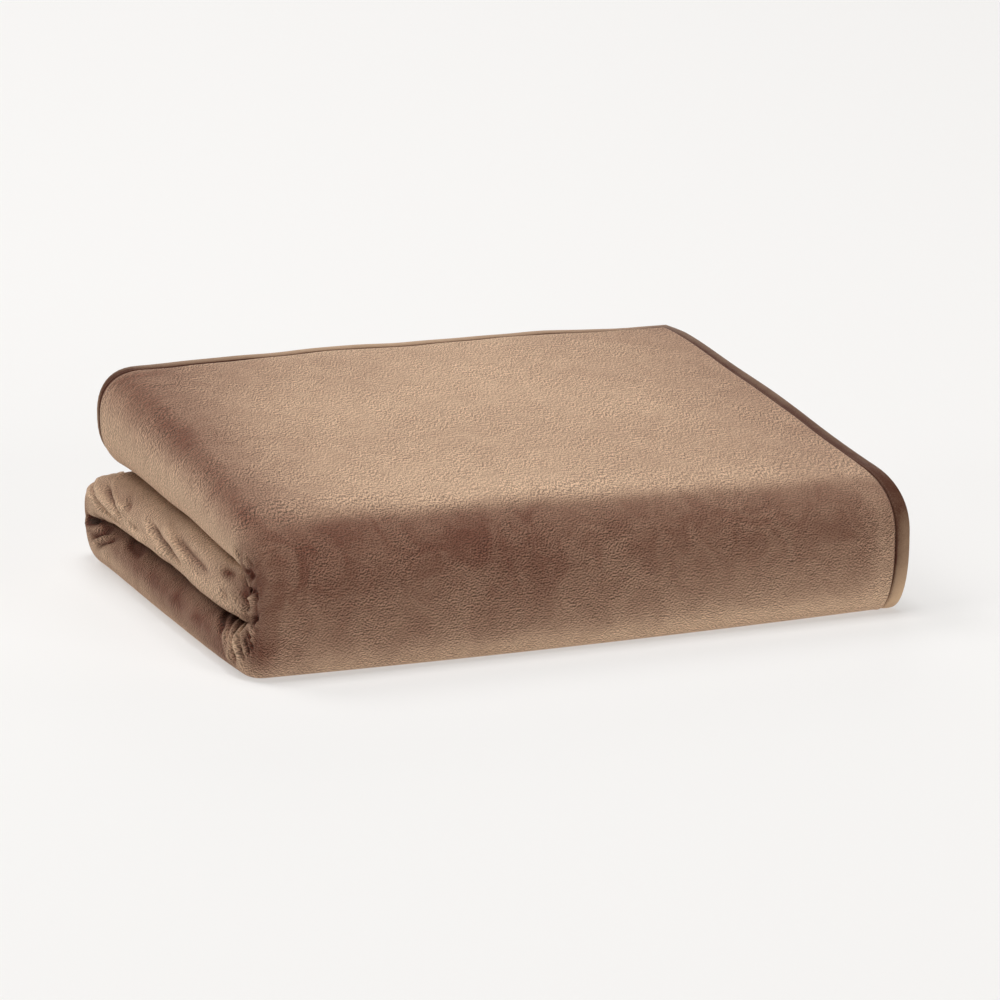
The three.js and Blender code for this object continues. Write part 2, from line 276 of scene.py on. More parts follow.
def layering(path, x):
    """Cloth thickness and spacing of the layers: the cloth is pressed thinner in a thin strip."""
    (outer_y, outer_z), (inner_y, inner_z) = faces(path, x)
    thick = np.hypot(inner_y - outer_y, inner_z - outer_z)
    cloth = np.minimum(CLOTH_THICKNESS, (thick - (LAYERS - 1) * LAYER_GAP) / LAYERS)
    return cloth, (thick - cloth) / (LAYERS - 1)


def in_strip(path, x, deep):
    """Points in the strip: at one place on its path, across it, and deep below its outer face."""
    (outer_y, outer_z), (inner_y, inner_z) = faces(path, x)
    share = deep / np.hypot(inner_y - outer_y, inner_z - outer_z)
    return np.stack([x, mix(outer_y, inner_y, share), mix(outer_z, inner_z, share)], axis=-1)


def ends(path):
    """Ends of the layers at a place on the path: hem, centre of the wraps, its radius and fullness."""
    backward = float(in_strip(path, np.array(LENGTH), 0)[1]) / TOP_DEPTH_RIGHT
    hem = LENGTH - RIGHT_END_LEAN * backward - column(RIGHT_ENDS, "path", path, "inset")
    left = column(LEFT_ENDS, "path", path, "inset")
    cloth, pitch = layering(path, np.array(left))
    fullness = [column(LEFT_ENDS, "path", path, half) for half in ("outer", "inner")]
    return hem, left + cloth / 2 + MIDDLE_LEVEL * pitch, MIDDLE_LEVEL * pitch, fullness


# The sheet's run across the strip

class Stations:
    """Stations across the sheet: part of the run, share of that part, and distance from the hem."""

    def __init__(self, part, share, edge, from_hem):
        self.part = np.array(part)
        self.share = np.array(share, float)
        self.edge = np.array(edge, float)
        self.from_hem = np.array(from_hem, float)

    def __len__(self):
        return len(self.part)

    def pick(self, which):
        return Stations(self.part[which], self.share[which], self.edge[which], self.from_hem[which])

    def joined(self, other):
        pairs = zip(
            (self.part, self.share, self.edge, self.from_hem),
            (other.part, other.share, other.edge, other.from_hem),
        )
        return Stations(*(np.concatenate(pair) for pair in pairs))


def stepped(table_of_steps):
    """Places from one table of steps: each row goes from a place to the next in equal steps."""
    return [mix(start, end, step / steps) for start, end, steps in table_of_steps for step in range(steps)]


def inner_stations(run_steps):
    """Stations between the two side hems, where the cloth has its full thickness."""
    places = np.array(stepped(run_steps)[1:])
    parts = np.floor(places + TINY).astype(int)
    count = len(places)
    return Stations(parts, np.clip(places - parts, 0, 1), [FULL_CLOTH_FROM] * count, [math.inf] * count)


def hem_stations(part, from_hem):
    """Stations at distances from the hem of the first or the last part of the run."""
    count = len(from_hem)
    return Stations([part] * count, [0 if part == FIRST_RUN else 1] * count, from_hem, from_hem)


def power(value, exponent):
    return np.sign(value) * np.abs(value) ** exponent


def run_points(path, stations):
    """Where the sheet runs across the strip: place along x, level in layers, and the cloth's normal."""
    hem, wrap, radius, fullness = ends(path)
    second_hem = hem - SECOND_HEM_INSET
    fold = hem - RIGHT_FOLD_INSET - radius / 3
    share, edge = stations.share, stations.edge
    sine, cosine = np.sin(share * math.pi), np.cos(share * math.pi)
    full = np.where(share < 0.5, *fullness)
    out, up = power(sine, 2 / full), power(cosine, 2 / full)
    side, rise = power(sine, 2 - 2 / full), power(cosine, 2 - 2 / full)
    size = np.hypot(side, rise)
    none, one = 0 * share, 0 * share + 1
    small = radius / 3
    runs = [
        (mix(hem - edge, wrap, share), none, none, -one),
        (wrap - radius * out, MIDDLE_LEVEL - MIDDLE_LEVEL * up, -side / size, -rise / size),
        (mix(wrap, fold, share), 3 * one, none, one),
        (fold + small * sine, 2.5 + 0.5 * cosine, sine, cosine),
        (mix(fold, wrap, share), 2 * one, none, -one),
        (wrap - small * sine, MIDDLE_LEVEL + 0.5 * cosine, -sine, -cosine),
        (mix(wrap, second_hem - edge, share), one, none, one),
    ]
    chosen = [stations.part == part for part in range(len(runs))]
    return [np.select(chosen, [run[kind] for run in runs]) for kind in range(4)]


# The outer layer's hem hangs down to the floor under the strip: by so much, and from where it turns
HEM_HANG = 1.5
HANG_FROM, HANG_TO, HANG_EASE = 1.55, 3.0, 0.3


def hang(path, stations):
    """How far stations at one place on the path hang down beside the hem."""
    near_hem = 1 - ease((stations.from_hem - TAPE_WIDTH) / PRESSED_RUN)
    along = ease((path - HANG_FROM) / HANG_EASE) * (1 - ease((path - HANG_TO) / HANG_EASE))
    return HEM_HANG * along * near_hem * (stations.part == FIRST_RUN)


def on_sheet(path, stations, off):
    """Points on or off the sheet's middle surface."""
    x, level, normal_x, normal_deep = run_points(path, stations)
    cloth, pitch = layering(path, x)
    off = off + hang(path, stations)
    return in_strip(path, x + normal_x * off, cloth / 2 + level * pitch + normal_deep * off)


def path_at(part, from_hem):
    """Path place at a distance from the back hem (TOP) or from the middle section's hem (MIDDLE)."""
    return from_hem / TOP_RUN if part == TOP else PATH_END - from_hem / MIDDLE_RUN


# How far the places between the hems stay clear of the hems' own rows, on the path
CLEAR_AFTER_HEM, CLEAR_BEFORE_HEM = 0.004, 0.006


def inner_places(path_steps):
    """Places along the path between its two hems."""
    first = path_at(TOP, FULL_CLOTH_FROM_AT_BACK) + CLEAR_AFTER_HEM
    last = path_at(MIDDLE, FULL_CLOTH_FROM_AT_BACK) - CLEAR_BEFORE_HEM
    return [place for place in stepped(path_steps) if first < place < last]


# Distances from a hem at which the cloth has points: under the tape, then up its rounded shoulder,
# which is short at the side hems and long at the back one
SHOULDER_STEPS = 5
INSIDE_TAPE_EDGE = 0.6


def hem_rows(pressed_run):
    """Distances from a hem for cloth that swells from pressed to full in pressed_run."""
    shoulder = [TAPE_WIDTH + pressed_run * step / SHOULDER_STEPS for step in range(SHOULDER_STEPS + 1)]
    return [CLOTH_EDGE, TAPE_WIDTH - INSIDE_TAPE_EDGE, *shoulder]


SIDE_HEM_ROWS, BACK_HEM_ROWS = hem_rows(PRESSED_RUN), hem_rows(PRESSED_RUN_AT_BACK)


def half_cloth(path, stations):
    """Half the cloth's thickness, pressed thin beside a hem and puffed up past its tape."""
    x = run_points(path, stations)[0]
    full = layering(path, x)[0] / 2
    from_back = min(path * TOP_RUN, (PATH_END - path) * MIDDLE_RUN)
    rise = np.clip((stations.from_hem - TAPE_WIDTH) / PRESSED_RUN, 0, 1)
    slow_rise = ease((from_back - TAPE_WIDTH) / PRESSED_RUN_AT_BACK)
    return mix(PRESSED_CLOTH / 2, full, np.minimum(np.sqrt(rise * (2 - rise)), slow_rise))


# Meshes

def make_object(name, points, polygons):
    """A smooth mesh object at the origin, from points in millimetres in the sewing room's frame."""
    mesh = bpy.data.meshes.new(name)
    mesh.from_pydata(((points + CORNER) * MM).tolist(), [], polygons)
    mesh.validate()
    mesh.shade_smooth()
    piece = bpy.data.objects.new(name, mesh)
    bpy.context.scene.collection.objects.link(piece)
    return piece


def grid_quads(rows, columns, first=0, flip=False):
    """Faces of a grid of points, whose indices start at first."""
    at = first + np.arange(rows * columns).reshape(rows, columns)
    corners = [at[:-1, :-1], at[:-1, 1:], at[1:, 1:], at[1:, :-1]]
    quads = np.stack(corners, axis=-1).reshape(-1, 4)
    return (quads[:, ::-1] if flip else quads).tolist()


def rim(rows, columns, first=0):
    """Indices round the four edges of a grid, once round."""
    at = first + np.arange(rows * columns).reshape(rows, columns)
    return np.concatenate([at[0, :-1], at[:-1, -1], at[-1, :0:-1], at[:0:-1, 0]])


def rim_triangles(fine, coarse):
    """Triangles that join a fine rim to a coarse one of half as many points."""
    triangles = []
    for here in range(len(coarse)):
        a, b, c = (int(fine[(2 * here + step) % len(fine)]) for step in range(3))
        d, e = int(coarse[here]), int(coarse[(here + 1) % len(coarse)])
        triangles += [(b, a, d), (c, b, e), (b, d, e)]
    return triangles


def loop_quads(count, size):
    """Faces of a loop of rings that closes on itself, from the count of rings and of points in one."""
    at = np.arange(count * size).reshape(count, size)
    after, beside = np.roll(at, -1, axis=0), np.roll(at, -1, axis=1)
    corners = [at, beside, np.roll(after, -1, axis=1), after]
    return np.stack(corners, axis=-1).reshape(-1, 4).tolist()


# The middle section's folded end swells forwards beside the front fold and hides its own hem:
# from these distances from the hem, by so much, and only this near to the left. It swells
# outwards by a share of its distance from the left too.
TIP_FROM, TIP_MOST, TIP_TO = 14.5, 31, 131
TIP_FORWARD, TIP_OUTWARD = 33, 5
TIP_NEAR, TIP_FAR = 12, 30
TIP_OUTWARD_BY_DEPTH, TIP_DEEPEST = 0.45, 40


def tip_filled(face, places, stations):
    """The face with the middle section's end swollen."""
    from_hem = (PATH_END - places) * MIDDLE_RUN
    along = ease((from_hem - TIP_FROM) / (TIP_MOST - TIP_FROM))
    along *= 1 - ease((from_hem - TIP_MOST) / (TIP_TO - TIP_MOST))
    inset = column(LEFT_ENDS, "path", places, "inset")[:, None]
    depth = face[:, :, 0] - inset
    near = 1 - ease((depth - TIP_NEAR) / (TIP_FAR - TIP_NEAR))
    share = along[:, None] * near * (stations.part <= 2)
    moved = face.copy()
    moved[:, :, 0] -= share * (TIP_OUTWARD + TIP_OUTWARD_BY_DEPTH * np.clip(depth, 0, TIP_DEEPEST))
    moved[:, :, 1] -= share * TIP_FORWARD
    return moved


def creases(path_from, path_to, *rows):
    """Creases that lie on one stretch of the path."""
    return [(*row, path_from, path_to) for row in rows]


# Creases of the left end and the near left corner, placed in the upright plane that faces
# that corner: across is Y less X, up is Z. Each runs from a start through a middle to an end, is
# so wide to either side and so deep (a ridge where depth is negative), and lies on one stretch
# of the path.
CREASES = table(
    "across_0 up_0 across_1 up_1 across_2 up_2 wide deep path_from path_to",
    # pleats of the bottom section beside the front fold: troughs, then the rolls between them
    *creases(1.4, 2.5,
        (76, 30, 65, 27, 58, 21, 2.4, 3.8),
        (63, 30, 52, 25, 42, 6, 2.2, 3.2),
        (49, 29, 38, 21, 34, 5, 2.3, 6.2),
        (37, 29, 28, 22.5, 19, 12, 2.1, 5.8),
        (31, 31, 21, 24.5, 14, 15, 2, 5),
        (22, 32, 15, 26, 10, 19, 1.9, 3.6),
        (57, 29, 48, 18, 37, 6, 3, -2.9),
        (43, 28.5, 31, 20, 20, 7, 2.7, -2.9),
        (34, 29, 24, 23.5, 15, 12, 2.3, -2.8),
        (26, 33, 18, 27.5, 11, 18, 2.1, -2.5),
    ),
    # crumples on the front fold's left edge: thin standing ridges, the pits beside them, and creases
    *creases(1.1, 1.9,
        (22, 86, 23, 78, 19, 70, 2, -2.6),
        (21, 71, 18, 64, 13, 58, 2, -2.6),
        (14, 59, 12, 53, 18, 46, 2, -2.8),
        (18, 75, 15, 71, 13, 67, 2.4, 4.4),
        (17, 62, 15, 59, 12, 56, 1.9, 3.6),
        (11, 62, 9, 58, 8, 53, 1.9, 2.4),
        (22, 55, 17, 50, 22, 45, 2, 3.4),
    ),
    *creases(1.1, 2.0,
        (19, 47, 16, 41, 18, 34, 2.2, -2.8),
        (14, 46, 12, 41, 13, 36, 2.2, 3),
    ),
    *creases(1.1, 2.1, (14, 36, 10, 31, 12, 25, 2.2, -2.4)),
    *creases(0.7, 1.4, (39, 86, 36, 80, 32, 75, 2.6, 3.2)),
    *creases(1.0, 1.9,
        (12, 79, 20, 73, 25, 66, 2, 2.4),
        (6, 57, 14, 53, 22, 46, 2.4, -1.6),
        (5, 44, 12, 40, 20, 35, 2.2, 2),
    ),
    # long folds of the middle section, from its back end downwards
    *creases(3.3, 5.0,
        (330, 59, 305, 52.5, 256, 44.5, 2.1, 6.6),
        (340, 51.5, 312, 48.8, 278, 45, 2.4, -2.6),
        (324, 60, 287, 53.7, 244, 47.4, 2.5, -3.6),
        (252, 49, 230, 47, 203, 44.5, 2.6, -3),
        (299, 63.5, 277, 58.4, 246, 50, 2.1, 6.2),
        (287, 62.5, 263, 56.3, 222, 47.6, 2.4, -3.4),
        (270, 60.5, 248, 55.7, 223, 49, 2.3, -2.4),
        (264, 58.5, 241, 52.6, 220, 47, 2, 4),
        (254, 62.5, 248, 62, 240, 61, 4, 3),
        (218, 62, 189, 51.4, 149, 44, 2.6, -3.6),
        (205, 60.5, 172, 52.8, 136, 45, 2.3, 5.8),
        (182, 63.5, 150, 57, 104, 47, 2.6, -3.4),
        (160, 61.5, 126, 57.8, 78, 53.5, 3.8, 4.2),
        (136, 53, 118, 50.5, 96, 48, 2.6, 2.6),
    ),
    *creases(4.0, 5.0,
        (68, 61, 56, 62, 45, 61, 5, 2.8),
        (64, 51, 62, 46.5, 56, 42.5, 2.4, 2.4),
        (50, 55, 46, 49, 40, 44, 2.6, 1.9),
    ),
    *creases(4.5, 5.0, (28, 53, 29, 47, 30, 41, 2.2, 3.4)),
    # the bottom section's end at the back: a dark wedge, and thin folds that run down from it
    *creases(2.9, 3.8, (343, 32.5, 331, 30.5, 310, 31, 2.6, 7.6)),
    *creases(2.3, 3.8,
        (335, 23.5, 321, 27.5, 306, 30, 2, -2.2),
        (330, 17, 311, 24.8, 287, 31.5, 1.5, 4.6),
        (322, 15, 306, 21.5, 290, 28, 1.9, -2.4),
        (318, 14, 298, 22.8, 274, 31, 1.5, 4.4),
        (306, 11, 290, 19, 275, 26.5, 2.6, -2),
    ),
    *creases(2.2, 3.3, (262, 33.5, 243, 31, 222, 32.5, 3.4, 3.2)),
    *creases(2.0, 3.3,
        (206, 30, 196, 22, 190, 12, 8, 0.9),
        (150, 30, 140, 20, 130, 12, 8, 0.8),
        (112, 29, 104, 20, 92, 12, 7, 1),
    ),
)
CREASE_STEPS = 14
CREASES_END_AT = 32

# A crease's section, in its own widths: it fades out from FADE to FADE + 1, is looked for within
# REACH, and has a low shoulder of so much of its depth beside it. It tapers over a share of its length.
CREASE_SHARPNESS = 1.35
CREASE_SHOULDER, CREASE_SHOULDER_AT = 0.16, 2
CREASE_FADE, CREASE_REACH = 2.5, 4
CREASE_TAPER = 0.3


def along_crease(row):
    """Points of one crease in its plane: a curve from its start through its middle to its end."""
    start, middle, end = (
        np.array([CREASES[f"across_{n}"][row], CREASES[f"up_{n}"][row]]) for n in range(3)
    )
    pull = 2 * middle - (start + end) / 2
    share = np.linspace(0, 1, CREASE_STEPS + 1)[:, None]
    return (1 - share) ** 2 * start + 2 * share * (1 - share) * pull + share**2 * end


def crease_depths(points, places):
    """How far each point of the face sinks into its creases; points are (rows, columns, 3)."""
    plane = np.stack([points[:, :, 1] - points[:, :, 0], points[:, :, 2]], axis=-1)
    sunk = np.zeros(plane.shape[:2])
    for row in range(len(CREASES["wide"])):
        wide, deep = CREASES["wide"][row], CREASES["deep"][row]
        curve = along_crease(row)
        reach = CREASE_REACH * wide
        past_low = (plane > curve.min(axis=0) - reach).all(axis=-1)
        short_of_high = (plane < curve.max(axis=0) + reach).all(axis=-1)
        on_path = (places > CREASES["path_from"][row]) & (places < CREASES["path_to"][row])
        here = past_low & short_of_high & (points[:, :, 0] < CREASES_END_AT) & on_path[:, None]
        near = plane[here]
        if not len(near):
            continue
        start, step = curve[:-1], curve[1:] - curve[:-1]
        off = near[:, None] - start
        share = np.clip((off * step).sum(-1) / (step**2).sum(-1), 0, 1)
        away = np.linalg.norm(off - share[..., None] * step, axis=-1)
        best = away.argmin(axis=1)
        at = (best + share[np.arange(len(near)), best]) / CREASE_STEPS
        away = away.min(axis=1)
        taper = ease(at / CREASE_TAPER) * ease((1 - at) / CREASE_TAPER)
        taper *= 1 - ease((away - CREASE_FADE * wide) / wide)
        middle = np.exp(-((away / wide) ** CREASE_SHARPNESS))
        shoulder = np.exp(-(((away - CREASE_SHOULDER_AT * wide) / wide) ** 2))
        sunk[here] += deep * taper * (middle - CREASE_SHOULDER * shoulder)
    return sunk


def grid_normals(points, outward):
    """Unit normals of a grid of points, on the side that outward shows."""
    normals = np.cross(np.gradient(points, axis=0), np.gradient(points, axis=1))
    normals /= np.maximum(np.linalg.norm(normals, axis=-1, keepdims=True), TINY)
    return normals * np.where((normals * outward).sum(-1, keepdims=True) < 0, -1, 1)


# Small lumps of the left end, where the cloth is bunched, and larger ones all over: size, height
END_LUMPS = (17, 0.9)
WIDE_LUMPS = (48, 0.5)


def lumps(points, size, height):
    """Soft lumps of about one size over a grid of points, in millimetres."""
    values = [noise.noise(Vector(point) / size) for point in points.reshape(-1, 3)]
    return height * np.array(values).reshape(points.shape[:2])


# Where the cloth is gathered into small puckers with sharp valleys: place on the path and run, how
# far that reaches along each, the size of a pucker and how deep its valleys are.
GATHERS = table(
    "path run long wide size deep",
    (1.30, 1.55, 0.09, 0.20, 7, 2.0),
    (1.55, 1.62, 0.16, 0.22, 7, 3.2),
    (1.84, 1.52, 0.12, 0.22, 9, 0.9),
    (4.88, 1.45, 0.06, 0.40, 9, 2.4),
)
LEAST_GATHER = 0.03
PUCKER_SHARPNESS = 3


def gather_depths(points, places, runs):
    """How far each point of the face sinks between its puckers, less than nothing on top of them."""
    sunk = np.zeros(points.shape[:2])
    for path, run, long, wide, size, deep in rows_of(GATHERS):
        share = np.exp(-(((places[:, None] - path) / long) ** 2) - ((runs[None] - run) / wide) ** 2)
        here = share > LEAST_GATHER
        valleys = np.array([abs(noise.noise(Vector(point) / size)) for point in points[here]])
        sunk[here] += deep * share[here] * (1 - PUCKER_SHARPNESS * valleys)
    return sunk


# Only the outer layer is creased, and a little of the innermost. The left end's lumps start at
# these places of the run and path and ease in, and no lump shows at the floor.
CREASED_OF_INNERMOST = 0.06
BUNCHED_FROM_RUN, BUNCHED_RUN_EASE = 1.15, 0.2
BUNCHED_FROM_PATH, BUNCHED_PATH_EASE = 1.9, 0.3
LUMPS_FULL_FROM = 12


def creased(face, outward, places, stations):
    """The face with its creases, gathers and lumps, and how deep each point lies in a crease."""
    innermost = 1 - ease(stations.share / CREASED_OF_INNERMOST)
    outer = np.select([stations.part <= 1, stations.part == 2], [1.0, innermost], 0.0)
    runs = stations.part + stations.share
    bunched = outer * ease((runs - BUNCHED_FROM_RUN) / BUNCHED_RUN_EASE)
    depth = (crease_depths(face, places) + gather_depths(face, places, runs)) * outer
    raised = lumps(face, *END_LUMPS) * bunched
    raised *= ease((places - BUNCHED_FROM_PATH) / BUNCHED_PATH_EASE)[:, None]
    raised += lumps(face, *WIDE_LUMPS) * outer
    raised *= ease(face[:, :, 2] / LUMPS_FULL_FROM)
    return face + grid_normals(face, outward) * (raised - depth)[..., None], depth


# The whole bundle sags and swells a little between its folds: slow waves over X and Y, with their
# length along each, phase and height
WAVES = table(
    "along_x along_y phase height",
    (190, 900, 0.4, 0.30),
    (83, -260, 1.9, 0.22),
    (-130, 150, 3.0, 0.35),
    (47, 120, 5.1, 0.10),
)
WAVES_FULL_FROM = 120


def waved(points):
    """Points lifted and lowered by the slow waves, more the higher they lie."""
    lift = sum(
        height * np.sin(2 * math.pi * (points[..., 0] / along_x + points[..., 1] / along_y) + phase)
        for along_x, along_y, phase, height in rows_of(WAVES)
    )
    moved = points.copy()
    moved[..., 2] += lift * ease(points[..., 2] / WAVES_FULL_FROM)
    return moved


# Where a point lies on the flat sheet

def so_far(steps):
    """Running sums of steps, from nothing."""
    return np.append(0, np.cumsum(steps))


def mean_steps(points, axis):
    """Mean length of the steps along one axis of a grid of points."""
    return np.linalg.norm(np.diff(points, axis=axis), axis=-1).mean(axis=1 - axis)


def flat_lengths(points):
    """How far each column and each row of a grid of points lies along the flat sheet."""
    return [CLOTH_EDGE + so_far(mean_steps(points, axis)) for axis in (1, 0)]


# The pile lies back towards the front fold and stands up over it: how much its tufts are stretched
# along the path, and across it on the top and at the folded ends, and where that changes
TUFT_LENGTH, TUFT_LENGTH_IN_FRONT, TUFT_LENGTH_BELOW = 2.9, 1.1, 2.1
TUFT_WIDTH, TUFT_WIDTH_AT_ENDS = 1.5, 1.05
TUFTS_IN_FRONT_FROM, TUFTS_BELOW_FROM, TUFTS_AT_ENDS_FROM, TUFTS_EASE = 1.05, 1.8, 1, 0.15


def tuft_lengths(places, lengths):
    """Lengths along the path, counted in tufts."""
    in_front = ease((places - TUFTS_IN_FRONT_FROM) / TUFTS_EASE)
    below = ease((places - TUFTS_BELOW_FROM) / TUFTS_EASE)
    stretch = mix(mix(TUFT_LENGTH, TUFT_LENGTH_IN_FRONT, in_front), TUFT_LENGTH_BELOW, below)
    return so_far(np.diff(lengths) / stretch[1:])


def tuft_widths(runs, widths):
    """Widths across the sheet, counted in tufts."""
    stretch = mix(TUFT_WIDTH, TUFT_WIDTH_AT_ENDS, ease((runs - TUFTS_AT_ENDS_FROM) / TUFTS_EASE))
    return so_far(np.diff(widths) / stretch[1:])


# How light the pile looks, from 0, its dark foot, to 1, its pale tips: painted light and shade by
# how light falls, lighter on the top and the left end's upper faces, darker down the front, along
# the top's rounded left edge and on the left end's lower faces, lighter at the front's bottom edge,
# and partly nap opened over a fold or brushed flat: across the run on the top, bottom and middle
# sections, and down the front fold
NAP_AND_SHADING_ACROSS = table(
    "run top bottom middle",
    (0.00, 0.60, 0.50, 0.50),
    (0.15, 0.78, 0.50, 0.50),
    (0.33, 0.86, 0.50, 0.50),
    (0.50, 0.89, 0.50, 0.60),
    (0.72, 0.90, 0.50, 0.80),
    (0.84, 0.80, 0.60, 0.90),
    (0.92, 0.62, 0.80, 0.92),
    (0.98, 0.38, 0.95, 0.95),
    (1.06, 0.24, 1.00, 0.96),
    (1.20, 0.21, 1.00, 0.84),
    (1.40, 0.66, 0.45, 0.78),
    (1.60, 1.02, 0.16, 1.00),
    (1.80, 0.90, 0.22, 0.70),
    (2.30, 0.45, 0.35, 0.45),
    (7.00, 0.45, 0.45, 0.45),
)
NAP_AND_SHADING_DOWN_FRONT = table(
    "path tone",
    (1.00, 0.40),
    (1.15, 0.26),
    (1.22, 0.18),
    (1.32, 0.16),
    (1.45, 0.20),
    (1.57, 0.32),
    (1.70, 0.46),
    (1.80, 0.78),
    (1.93, 1.04),
)

# Patches of painted light and shade, partly of nap brushed another way: place on the path and run, half
# their size along each, and change
NAP_AND_SHADING_PATCHES = table(
    "path run long wide change",
    # the top: dark at its back left corner, with a light line beside the back tape
    (0.03, 0.85, 0.20, 0.26, -0.20),
    (0.08, 0.10, 0.16, 0.16, -0.08),
    (0.068, 0.50, 0.010, 0.80, 0.34),
    (0.30, 0.42, 0.20, 0.16, 0.05),
    (0.97, 0.30, 0.08, 0.22, -0.06),
    (0.36, 0.62, 0.16, 0.16, -0.05),
    (0.02, 1.06, 0.06, 0.07, 0.16),
    (0.50, 1.13, 0.30, 0.09, -0.05),
    (0.31, 0.86, 0.14, 0.06, -0.08),
    (0.27, 1.33, 0.14, 0.08, -0.10),
    (1.15, 0.34, 0.05, 0.24, 0.09),
    (0.92, 0.70, 0.13, 0.24, 0.07),
    (0.60, 0.20, 0.12, 0.10, 0.05),
    (0.55, 1.45, 0.20, 0.12, 0.14),
    # the front: light beside the tape and at its bottom right corner, dark at its bottom left one
    (1.50, 0.01, 0.42, 0.025, 0.28),
    (1.24, 0.04, 0.12, 0.07, 0.11),
    (1.62, 0.86, 0.22, 0.10, 0.06),
    (1.88, 0.66, 0.07, 0.12, -0.08),
    (1.28, 0.28, 0.30, 0.22, 0.13),
    (1.74, 0.93, 0.08, 0.09, 0.16),
    (1.50, 0.55, 0.30, 0.40, 0.02),
    (1.78, 0.14, 0.18, 0.26, 0.24),
    (1.77, 1.30, 0.12, 0.36, -0.46),
    (1.90, 1.62, 0.07, 0.16, -0.25),
    (1.22, 1.40, 0.12, 0.26, 0.22),
    # the left end: lighter at the bottom section's back, darker at its front and round the middle one
    (2.95, 1.46, 0.40, 0.10, 0.50),
    (3.44, 1.52, 0.10, 0.09, -0.60),
    (3.14, 1.83, 0.22, 0.07, -0.60),
    (2.02, 1.20, 0.15, 0.35, -0.36),
    (2.02, 1.70, 0.08, 0.26, 0.10),
    (2.48, 1.60, 0.18, 0.16, -0.06),
    (2.76, 1.75, 0.10, 0.10, 0.10),
    (3.00, 1.66, 0.22, 0.12, 0.22),
    (4.80, 1.64, 0.06, 0.10, 0.12),
    (4.15, 1.25, 0.13, 0.16, -0.16),
    (4.88, 1.40, 0.05, 0.50, -0.60),
    (4.785, 1.28, 0.018, 0.08, -0.45),
    (4.80, 1.54, 0.011, 0.07, -0.35),
)
# Painted shade: the tone falls by so much for each millimetre that a point lies deep in a crease, and
# rises as painted light on ridges, and falls by so much beside the seams, within so far of the side hems
# and of the back hem. The tone stays between the darkest and the palest.
PAINTED_CREASE_SHADING = 0.13
PAINTED_SEAM_SHADE, SEAM_REACH, SEAM_REACH_AT_BACK = 0.34, 11.6, 13.2
DARKEST, PALEST = -0.4, 1.1

# Where the pile of the front, the bottom and the middle section takes over on the path, and how slowly
FRONT_PILE, BOTTOM_PILE, MIDDLE_PILE = (1.06, 0.14), (1.95, 0.12), (3.4, 0.4)


def pile_tone_and_shading(places, runs, depth, in_seam):
    """How light the pile looks at each place of a grid, from its tables and patches, with painted shade in
    its creases and beside its seams and painted light on its ridges.
    """
    sections = ("top", "bottom", "middle")
    tone, bottom, middle = (column(NAP_AND_SHADING_ACROSS, "run", runs, name)[None] for name in sections)
    path = places[:, None]
    front = column(NAP_AND_SHADING_DOWN_FRONT, "path", places, "tone")[:, None] + 0 * tone
    for pile, (start, slow) in ((front, FRONT_PILE), (bottom, BOTTOM_PILE), (middle, MIDDLE_PILE)):
        tone = mix(tone, pile, ease((path - start) / slow))
    for at, run, long, wide, change in rows_of(NAP_AND_SHADING_PATCHES):
        tone = tone + change * np.exp(-(((path - at) / long) ** 2) - ((runs[None] - run) / wide) ** 2)
    # painted shade in the creases and beside the seams, painted light on the ridges
    tone = tone - PAINTED_CREASE_SHADING * depth - PAINTED_SEAM_SHADE * in_seam
    return np.clip(tone, DARKEST, PALEST)


def add_maps(piece, sheet, tufts, tone):
    """Gives a mesh its places on the flat sheet and in tufts, in metres, and its tone with its painted
    light and shade, by vertex.
    """
    mesh = piece.data
    corners = np.empty(len(mesh.loops), int)
    mesh.loops.foreach_get("vertex_index", corners)
    for name, places in (("sheet", sheet), ("tufts", tufts)):
        layer = mesh.uv_layers.new(name=name)
        layer.data.foreach_set("uv", (places[corners] * MM).astype(np.float32).ravel())
    mesh.attributes.new("tone", "FLOAT", "POINT").data.foreach_set("value", tone.astype(np.float32))


def grid_of(along, across):
    """Pairs (across, along) for every point of a grid, row by row."""
    return np.stack(np.meshgrid(across, along), axis=-1).reshape(-1, 2)


def cloth_stations():
    """Stations across the sheet from hem to hem, an odd number, so that every second one ends at a hem."""
    first = hem_stations(FIRST_RUN, SIDE_HEM_ROWS)
    last = hem_stations(LAST_RUN, SIDE_HEM_ROWS[::-1])
    stations = first.joined(inner_stations(RUN_STEPS)).joined(last)
    if len(stations) % 2 == 0:
        stations = stations.pick(np.arange(len(stations)) != len(stations) - len(SIDE_HEM_ROWS) - 1)
    return stations


def cloth_places():
    """Places along the path from hem to hem, an odd number too."""
    places = [path_at(TOP, from_hem) for from_hem in BACK_HEM_ROWS] + inner_places(PATH_STEPS)
    places += [path_at(MIDDLE, from_hem) for from_hem in BACK_HEM_ROWS[::-1]]
    if len(places) % 2 == 0:
        del places[-len(BACK_HEM_ROWS) - 1]
    return places


def cloth_points(stations, places, side):
    """A grid of points on the cloth's face (side 1), middle (0) or back (-1)."""
    return np.array([on_sheet(place, stations, side * half_cloth(place, stations)) for place in places])


